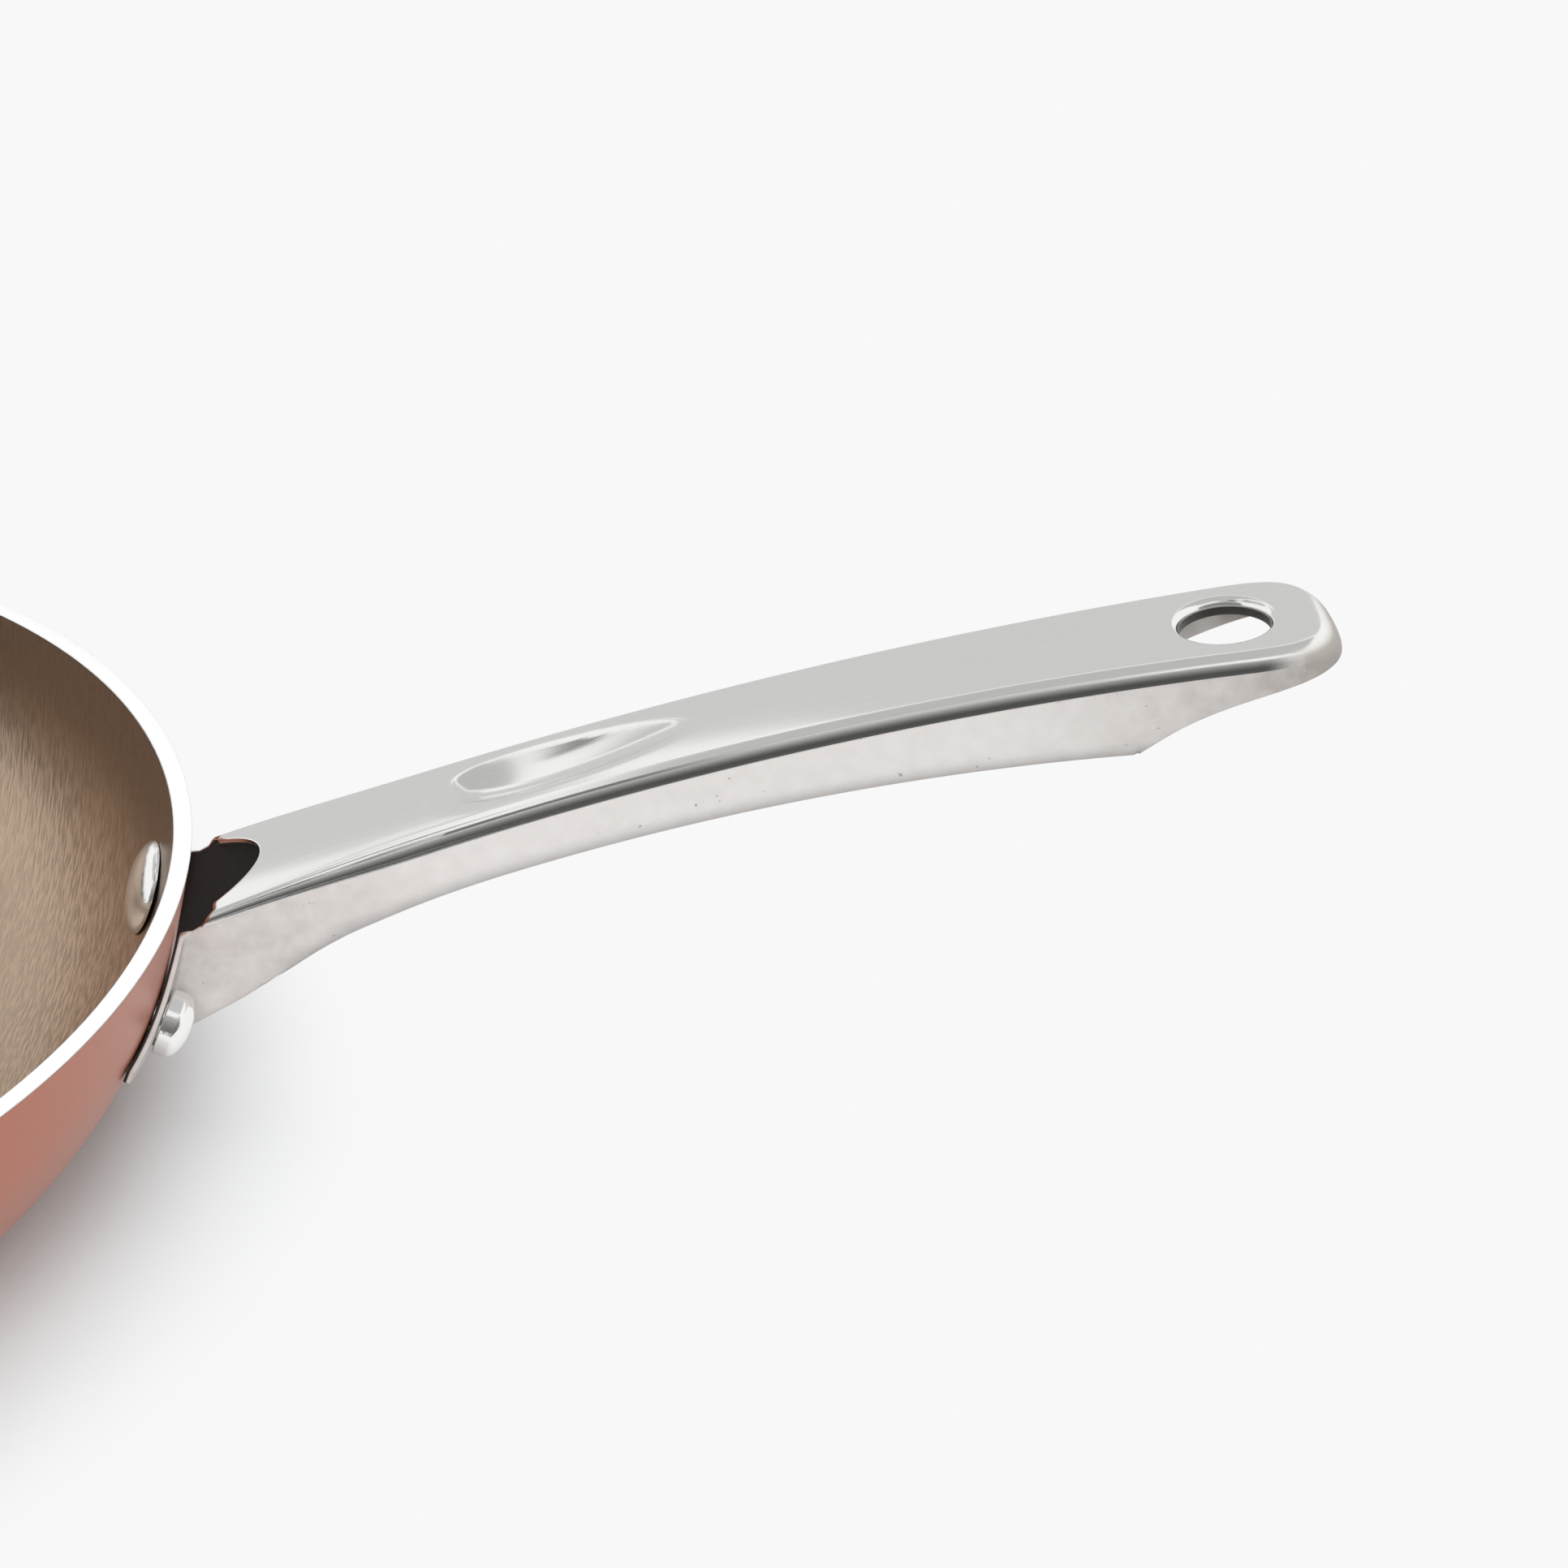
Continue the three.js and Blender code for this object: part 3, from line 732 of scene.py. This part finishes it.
def rolled_nonstick(finishes):
    """Satin coating with the fine straight strokes of the roller that laid it, and painted shade that darkens
    it towards the rim
    """
    material, shade = new_finish("rolled_nonstick")
    x, y, z = shade.place()
    sine, cosine = math.sin(STROKE_TURN), math.cos(STROKE_TURN)
    across, along, up = STROKES
    strokes = shade.noise((x * sine - y * cosine) * across, (x * cosine + y * sine) * along, z * up, 1)
    cloud = shade.speckle(60)
    shown = strokes.step(0.3, 0.7)
    base = (shown * 0.85 + cloud * 0.15).mix(toned(finishes.nonstick, 0.87), toned(finishes.nonstick, 1.25))
    # Painted shade: the coating's colour darkens towards the rim
    close_finish(
        shade,
        Base_Color=z.step(*PAINTED_SHADE_HEIGHTS).mix(base, toned(finishes.nonstick, PAINTED_SHADE_TONE)),
        Metallic=1,
        Roughness=0.29 + shown * 0.08,
        Normal=shown.bump(0.000025),
    )
    return material


def copper_lacquer(finishes):
    """Metallic lacquer with fine flake under a clear coat"""
    material, shade = new_finish("copper_lacquer")
    flake = shade.speckle(3500)
    cloud = shade.speckle(45)
    base = (flake * 0.5 + cloud * 0.5).mix(toned(finishes.lacquer, 0.92), toned(finishes.lacquer, 1.08))
    close_finish(
        shade,
        Base_Color=base,
        Metallic=0.45,
        Roughness=0.34 + flake * 0.1,
        Normal=flake.bump(0.00003),
        Coat_Weight=0.12,
        Coat_Roughness=0.2,
    )
    return material


def neck_shade_mask(along, aside, above, handle):
    """Mask of the near-black painted shade: 1 on the sheet's inner face near the neck, where the scoop shows
    it
    """
    narrows = along.math("MAXIMUM", 1 - along / handle.waist_at, 0)
    half = handle.waist_width / 2 + narrows * narrows * ((handle.neck_width - handle.waist_width) / 2)
    crown = (1 - (aside / half) ** 2) * (1 - along.step(0, handle.cut_starts)) * handle.crown
    inner = [share * handle.sheet for share in INNER_FACE]
    over_roll = (above + handle.neck_wall - along * ROLL_SLOPE).step(*ROLL_FADE)
    at_neck = 1 - along.step(*NECK_FADE)
    return (crown - above).step(*inner) * (half - aside).step(*inner) * at_neck * over_roll


def from_pan(x, y, z, pan):
    """Distance from the pan's outside, below on its corner and above on its wall"""
    outwards = x.hypot(y) - pan.corner_centre
    below = pan.corner - z
    from_corner = outwards.hypot(below) - pan.corner
    from_wall = outwards * math.cos(pan.lean) + below * math.sin(pan.lean) - pan.corner
    on_corner = (below - outwards * math.tan(pan.lean)).step(*CORNER_FADE)
    return from_wall + on_corner * (from_corner - from_wall)


def stamped_steel(finishes, handle):
    """Polished on top, satin down the walls and darker towards their ends with stains and painted shade, with
    near-black painted shade inside the neck, in the collar and at the ears' edges
    """
    material, shade = new_finish("stamped_steel")
    x, y, z = shade.place()
    centre_x, centre_z = handle.arch_centre
    ahead, up = x - centre_x, z - centre_z
    above = ahead.hypot(up) - 1 / handle.turn
    along = (shade.math("ARCTAN2", ahead, up) + handle.neck_rise) / handle.turn
    fillet = handle.neck_fillet + along.step(0, handle.neck_run) * (handle.side_fillet - handle.neck_fillet)
    end = along.step(handle.cap_starts + END_STARTS, handle.reach - END_FULL) * above.step(*END_FADE)
    polish = (above + fillet).step(*POLISH_FADE) * (1 - end)
    scoop = neck_shade_mask(along, shade.math("ABSOLUTE", y), above, handle)
    # Painted shade in near-black: inside the neck, at the ears' edges and in the hole's collar
    shade_depth = handle.ear_clearance + EAR_EDGE * handle.sheet
    ear_edge_shade = (shade_depth - from_pan(x, y, z, handle.pan)).step(*EAR_FADE)
    from_hole = along - (handle.reach - handle.hole_setback)
    from_bore = from_hole.hypot(y) - handle.hole / 2
    collar = (COLLAR_EDGE - from_bore).step(*COLLAR_FADE) * above.step(*COLLAR_TOP)
    painted_shade = shade.math("MAXIMUM", shade.math("MAXIMUM", scoop, ear_edge_shade), collar)
    lengthwise, sideways, upwards = STEEL_GRAIN
    grain = shade.noise(along * lengthwise, y * sideways, above * upwards, 3)
    mottle = shade.speckle(330, 4)
    tooth = shade.speckle(2200)
    pits = shade.speckle(620).step(*PITS)
    # Darker towards both ends: stains near the neck, stains and painted shade towards the tip
    first, second = (along.step(start, handle.reach) for start in STAINED_AND_SHADED_TIP)
    ends = (first + second) * 0.6 + (1 - along.step(0, STAINED_NECK)) * 0.4
    stains_and_shade = mottle * (0.25 + ends * 0.8) + ends * 0.5
    side = stains_and_shade.mix(toned(finishes.side_steel, 1.1), finishes.stained_and_shaded_steel)
    side = pits.mix(side, toned(finishes.side_steel, 0.55))
    top = grain.mix(toned(finishes.top_steel, 0.97), toned(finishes.top_steel, 1.03))
    close_finish(
        shade,
        Base_Color=painted_shade.mix(polish.mix(side, top), finishes.painted_shade_steel),
        Metallic=(polish * 0.75 + 0.25) * (1 - painted_shade),
        Roughness=polish * (0.13 + grain * 0.05) + (1 - polish) * (0.4 + mottle * 0.12) + painted_shade * 0.2,
        Normal=(tooth * (1 - polish) + grain * polish * 0.1).bump(0.00003),
    )
    return material


def polished_steel(finishes):
    """Bright heads with the faint marks of the rivet set"""
    material, shade = new_finish("polished_steel")
    marks = shade.speckle(500, 3)
    haze = shade.speckle(2500)
    close_finish(
        shade,
        Base_Color=marks.mix(toned(finishes.rivet_steel, 0.93), finishes.rivet_steel),
        Metallic=0.92,
        Roughness=0.1 + marks * 0.08,
        Normal=(marks * 0.7 + haze * 0.3).bump(0.00007),
    )
    return material


# Stage

FLAT = (0, 0, 0)
UPRIGHT = (QUARTER, 0, 0)
FLOOR_SIZE = 8
FLOOR_DROP = 0.0003

# Distances from the pan's axis over which the shadow's floor gives way to a plain one
SHADOW_FADE = (0.118, 0.17)

# Light that floor and surroundings give, as shares of what is seen of them
FLOOR_LIGHT = 0.12
SKY_LIGHT = 0.5

# Cards: grey at the lower and upper edge, middle, turn, width and length
CARDS = (
    ("neck_card", 0.61, 0.61, (-0.26, 1, 0.47), UPRIGHT, (0.24, 0.96)),
    ("dimple_card", 0.61, 0.61, (-0.02, 1, 0.36), UPRIGHT, (0.24, 0.74)),
    ("back_card", 0.61, 0.61, (0.45, 1, 0.47), UPRIGHT, (0.7, 0.96)),
    ("top_card", 0.5, 0.5, (0.36, 0.28, 1.2), FLAT, (1.1, 1.6)),
    ("left_card", 0.5, 0.5, (-0.85, 0.28, 1.2), FLAT, (0.8, 1.6)),
    ("high_card", 0.5, 0.5, (-0.01, -0.9, 1.5), UPRIGHT, (0.44, 0.74)),
    ("dark_card", 0.12, 0.12, (-0.32, -0.62, 1.2), FLAT, (0.4, 0.5)),
    ("streak_card", 0.06, 0.06, (-0.4, 0.12, 1.19), FLAT, (0.2, 0.16)),
    ("front_card", 0.07, 0.38, (0.2, -0.9, 0.56), UPRIGHT, (2.4, 1.12)),
    ("low_card", 0.08, 0.08, (0.33, -0.53, 0.0005), FLAT, (0.46, 0.74)),
)

# Lights: middle, turn, size and power
LIGHTS = (
    ("softbox", (-0.1, 0.15, 1.3), FLAT, 1.6, 12),
    ("front_fill", (0.3, -1.2, 0.9), (math.radians(55), 0, 0), 1.2, 20),
)

CAMERA_PLACE = (0.18662, -0.54955, 0.34991)
CAMERA_TURN = (math.radians(62.038), 0, math.radians(-5.187))
CAMERA_LENS = 87.76
CAMERA_SENSOR = 36
CAMERA_CLIP = 0.01


def seen_share(shade):
    """1 for rays of the camera, of reflections and through glass, 0 for rays of light"""
    seen = shade.node("ShaderNodeLightPath", {}, {}, "Is Camera Ray")
    for ray in ("Is Glossy Ray", "Is Transmission Ray"):
        seen = shade.math("MAXIMUM", seen, shade.node("ShaderNodeLightPath", {}, {}, ray))
    return seen


def pale_floor(finishes):
    """Pale floor that takes the pan's shadow near it and is plain further out"""
    material, shade = new_finish("pale_floor")
    x, y = shade.place()[:2]
    out = x.hypot(y).step(*SHADOW_FADE)
    seen = seen_share(shade)
    # The near floor's colour is painted: cooled against the lacquer's pink bounce, dimmed to deepen the pan's
    # shadow
    near = shade.node("ShaderNodeBsdfDiffuse", {}, {"Color": opaque(finishes.shaded_floor)})
    strength = seen + (1 - seen) * FLOOR_LIGHT
    away = shade.node("ShaderNodeEmission", {}, {"Color": opaque(finishes.studio), "Strength": strength})
    both = shade.node("ShaderNodeMixShader", {}, {0: out, 1: near, 2: away})
    shade.node("ShaderNodeOutputMaterial", {}, {"Surface": both})
    return material


def card(name, low, high, place, turn, size):
    """A grey card that only reflections see, graded from its lower edge to its upper"""
    bpy.ops.mesh.primitive_plane_add(size=1, location=place, rotation=turn)
    piece = start_piece(name)
    piece.scale = (*size, 1)
    material, shade = new_finish(name)
    rise = shade.place()[1].step(-0.5, 0.5)
    grey = rise.mix((low, low, low), (high, high, high))
    glow = shade.node("ShaderNodeEmission", {}, {"Color": grey, "Strength": 1})
    shade.node("ShaderNodeOutputMaterial", {}, {"Surface": glow})
    piece.data.materials.append(material)
    piece.visible_camera = False
    piece.visible_diffuse = False
    piece.visible_shadow = False
    piece.visible_transmission = False
    return piece


def light_world(scene, studio):
    """Pale surroundings, dimmer as a light than to the eye"""
    scene.world = bpy.data.worlds.new("studio")
    scene.world.use_nodes = True
    tree = scene.world.node_tree
    tree.nodes.clear()
    shade = Shade(tree)
    seen = seen_share(shade)
    strength = seen + (1 - seen) * SKY_LIGHT
    sky = shade.node("ShaderNodeBackground", {}, {"Color": opaque(studio), "Strength": strength})
    shade.node("ShaderNodeOutputWorld", {}, {"Surface": sky})


def soft_light(name, place, turn, size, power):
    """A square light that reflections don't see"""
    bpy.ops.object.light_add(type="AREA", location=place, rotation=turn)
    light = bpy.context.object
    light.name = name
    light.data.shape = "SQUARE"
    light.data.size = size
    light.data.energy = power
    light.visible_glossy = False


# Operators


class PAN_OT_dish(bpy.types.Operator):
    """Spin the bare dish with its machined rim and turned base"""

    bl_idname = "pan.dish"
    bl_label = "Dish"

    def execute(self, context):
        pan = context.scene.pan_sizes
        under = pan.coating + pan.gap
        outside = pan.line(under, pan.heel_angle, pan.lip_height)
        inside = pan.line(pan.sheet - under, 0, pan.lip_height)[::-1]
        low_out = (pan.radius_at(pan.lip_height, 0), pan.lip_height)
        high_out = (pan.rim / 2, pan.height)
        high_in = (pan.radius_at(pan.height, -pan.sheet), pan.height)
        low_in = (pan.radius_at(pan.lip_height, -pan.sheet), pan.lip_height)
        rim = [low_out]
        rim += rounded(low_out, high_out, high_in, pan.rim_edge)
        rim += rounded(high_out, high_in, low_in, pan.rim_edge)
        rim += [low_in]
        heel = [pan.on_corner(pan.heel_angle * step / HEEL_STEPS, 0) for step in range(HEEL_STEPS + 1)]
        floor = pan.flat(pan.sheet - under)[::-1]
        dish = turned("dish", pan.flat(0) + heel + outside + rim + inside + floor, TURN_STEPS)
        bore(dish, context.scene)
        finish_piece(dish, turned_aluminium(context.scene.pan_finishes), "pan_body")
        return {"FINISHED"}


class PAN_OT_coatings(bpy.types.Operator):
    """Spin the nonstick inside and the lacquer outside"""

    bl_idname = "pan.coatings"
    bl_label = "Coatings"

    def execute(self, context):
        pan, finishes = context.scene.pan_sizes, context.scene.pan_finishes
        top = pan.lip_height - pan.gap
        under = pan.line(pan.sheet - pan.coating, 0, top)
        face = pan.line(pan.sheet, 0, top)[::-1]
        below = pan.flat(pan.sheet - pan.coating)
        floor = pan.flat(pan.sheet)[::-1]
        inside = turned("nonstick_inside", below + under + face + floor, TURN_STEPS)
        bore(inside, context.scene)
        finish_piece(inside, rolled_nonstick(finishes), "interior_coating")
        starts = pan.heel_angle + pan.gap / pan.corner
        face = pan.line(0, starts, top)
        under = pan.line(pan.coating, starts, top)[::-1]
        outside = turned("lacquer_outside", face + under, TURN_STEPS)
        bore(outside, context.scene)
        finish_piece(outside, copper_lacquer(finishes), "exterior_lacquer")
        return {"FINISHED"}


class PAN_OT_handle(bpy.types.Operator):
    """Form the stamped handle: walls, top face, hanging hole and ears"""

    bl_idname = "pan.handle"
    bl_label = "Handle"

    def execute(self, context):
        handle = context.scene.handle_sizes

        def skirt(column, row):
            near = column <= HALF_STEPS
            return handle.skirt(column if near else 2 * HALF_STEPS - column, -1 if near else 1, row)

        def plate(column, row):
            return handle.plate(column, 2 * row / PLATE_ROWS - 1)

        loop = handle.tip_loop()
        tip_rows = RING_ROWS + LIP_ROWS + COLLAR_ROWS + 1
        patches = [
            formed("skirt", 2 * HALF_STEPS + 1, FILLET_ROWS + WALL_ROWS + 1, skirt),
            formed("plate", PLATE_STEPS + 1, PLATE_ROWS + 1, plate),
            formed("tip", len(loop), tip_rows, lambda column, row: handle.tip(loop[column], row)),
        ]
        ear_columns = JOIN_STEPS + BEND_STEPS + EAR_STEPS + 1
        for side in (-1, 1):
            ear = formed("ear", ear_columns, WALL_ROWS + 1, lambda column, row: handle.ear(column, side, row))
            patches.append(ear)
        for patch in patches:
            patch.select_set(True)
        bpy.context.view_layer.objects.active = patches[0]
        bpy.ops.object.join()
        piece = start_piece("stamped_handle")
        bpy.ops.object.mode_set(mode="EDIT")
        close_seams()
        bpy.ops.object.mode_set(mode="OBJECT")
        if max(piece.data.polygons, key=lambda face: face.center.z).normal.z < 0:
            bpy.ops.object.mode_set(mode="EDIT")
            bpy.ops.mesh.flip_normals()
            bpy.ops.object.mode_set(mode="OBJECT")
        use(
            piece,
            "SOLIDIFY",
            thickness=handle.sheet,
            offset=-1,
            use_even_offset=True,
            use_quality_normals=True,
        )
        use(
            piece,
            "BEVEL",
            width=handle.cut_edge,
            segments=2,
            limit_method="ANGLE",
            angle_limit=BEVEL_ABOVE,
            use_clamp_overlap=False,
        )
        bore(piece, context.scene)
        finish_piece(piece, stamped_steel(context.scene.pan_finishes, handle), "handle")
        return {"FINISHED"}


class PAN_OT_rivets(bpy.types.Operator):
    """Turn one rivet, set it and copy it to the other ear"""

    bl_idname = "pan.rivets"
    bl_label = "Rivets"

    def execute(self, context):
        scene = context.scene
        rivet, pan, handle = scene.rivet_sizes, scene.pan_sizes, scene.handle_sizes
        inner, outer, shank = rivet.inner_head / 2, rivet.outer_head / 2, rivet.shank / 2
        inside = pan.corner - pan.sheet
        seat = -pan.sheet - rivet.seat
        edge = seat - inner**2 / (2 * inside)
        outline = [(0, seat - rivet.inner_height)]
        for step in range(1, HEAD_STEPS + 1):
            turn = step / HEAD_STEPS * QUARTER
            outline.append((inner * math.sin(turn), lerp(edge, seat - rivet.inner_height, math.cos(turn))))
        outline.append((shank, seat - shank**2 / (2 * inside)))
        low = handle.ear_offset + rivet.seat
        outline += [(shank, low), (outer - rivet.foot_edge, low), (outer, low + rivet.foot_edge)]
        for step in range(HEAD_STEPS):
            turn = step / HEAD_STEPS * QUARTER
            dome = lerp(low + rivet.head_edge, low + rivet.outer_height, math.sin(turn))
            outline.append((outer * math.cos(turn), dome))
        outline.append((0, low + rivet.outer_height))
        far = turned("rivet_far", outline, RIVET_STEPS)
        far.matrix_world = rivet.place
        steel = polished_steel(scene.pan_finishes)
        finish_piece(far, steel, "rivet_left")
        bpy.ops.object.duplicate(linked=False)
        near = start_piece("rivet_near")
        near.matrix_world = rivet.swing
        finish_piece(near, steel, "rivet_right")
        return {"FINISHED"}


class PAN_OT_stage(bpy.types.Operator):
    """Set the pale floor, the grey cards, the soft lights and the camera"""

    bl_idname = "pan.stage"
    bl_label = "Stage"

    def execute(self, context):
        scene = context.scene
        bpy.ops.object.select_all(action="DESELECT")
        bpy.ops.mesh.primitive_plane_add(size=FLOOR_SIZE, location=(0, 0, -FLOOR_DROP))
        floor = start_piece("floor")
        floor.data.materials.append(pale_floor(scene.pan_finishes))
        cards = [card(*values) for values in CARDS]
        light_world(scene, scene.pan_finishes.studio)
        for values in LIGHTS:
            soft_light(*values)
        bpy.ops.object.camera_add(location=CAMERA_PLACE)
        camera = bpy.context.object
        camera.rotation_euler = CAMERA_TURN
        camera.data.sensor_width = CAMERA_SENSOR
        camera.data.lens = CAMERA_LENS
        camera.data.clip_start = CAMERA_CLIP
        scene.camera = camera
        scene.view_settings.view_transform = "Standard"
        return {"FINISHED"}


# Add-on

OPERATORS = (PAN_OT_dish, PAN_OT_coatings, PAN_OT_handle, PAN_OT_rivets, PAN_OT_stage)
GROUPS = {
    "pan_sizes": PanSizes,
    "handle_sizes": HandleSizes,
    "rivet_sizes": RivetSizes,
    "pan_finishes": Finishes,
}


class PAN_PT_sidebar(bpy.types.Panel):
    """Frying pan"""

    bl_idname = "PAN_PT_sidebar"
    bl_label = "Frying Pan"
    bl_space_type = "VIEW_3D"
    bl_region_type = "UI"
    bl_category = "Frying Pan"

    def draw(self, context):
        for operator in OPERATORS:
            self.layout.operator(operator.bl_idname)
        for name, group in GROUPS.items():
            box = self.layout.box()
            box.label(text=group.__doc__)
            for size in group.__annotations__:
                box.prop(getattr(context.scene, name), size)


CLASSES = (*GROUPS.values(), *OPERATORS, PAN_PT_sidebar)


def register():
    for item in CLASSES:
        bpy.utils.register_class(item)
    for name, group in GROUPS.items():
        setattr(bpy.types.Scene, name, PointerProperty(type=group))


def unregister():
    for name in GROUPS:
        delattr(bpy.types.Scene, name)
    for item in reversed(CLASSES):
        bpy.utils.unregister_class(item)


def main():
    register()
    bpy.ops.pan.dish()
    bpy.ops.pan.coatings()
    bpy.ops.pan.handle()
    bpy.ops.pan.rivets()
    bpy.ops.pan.stage()


if __name__ == "__main__":
    main()
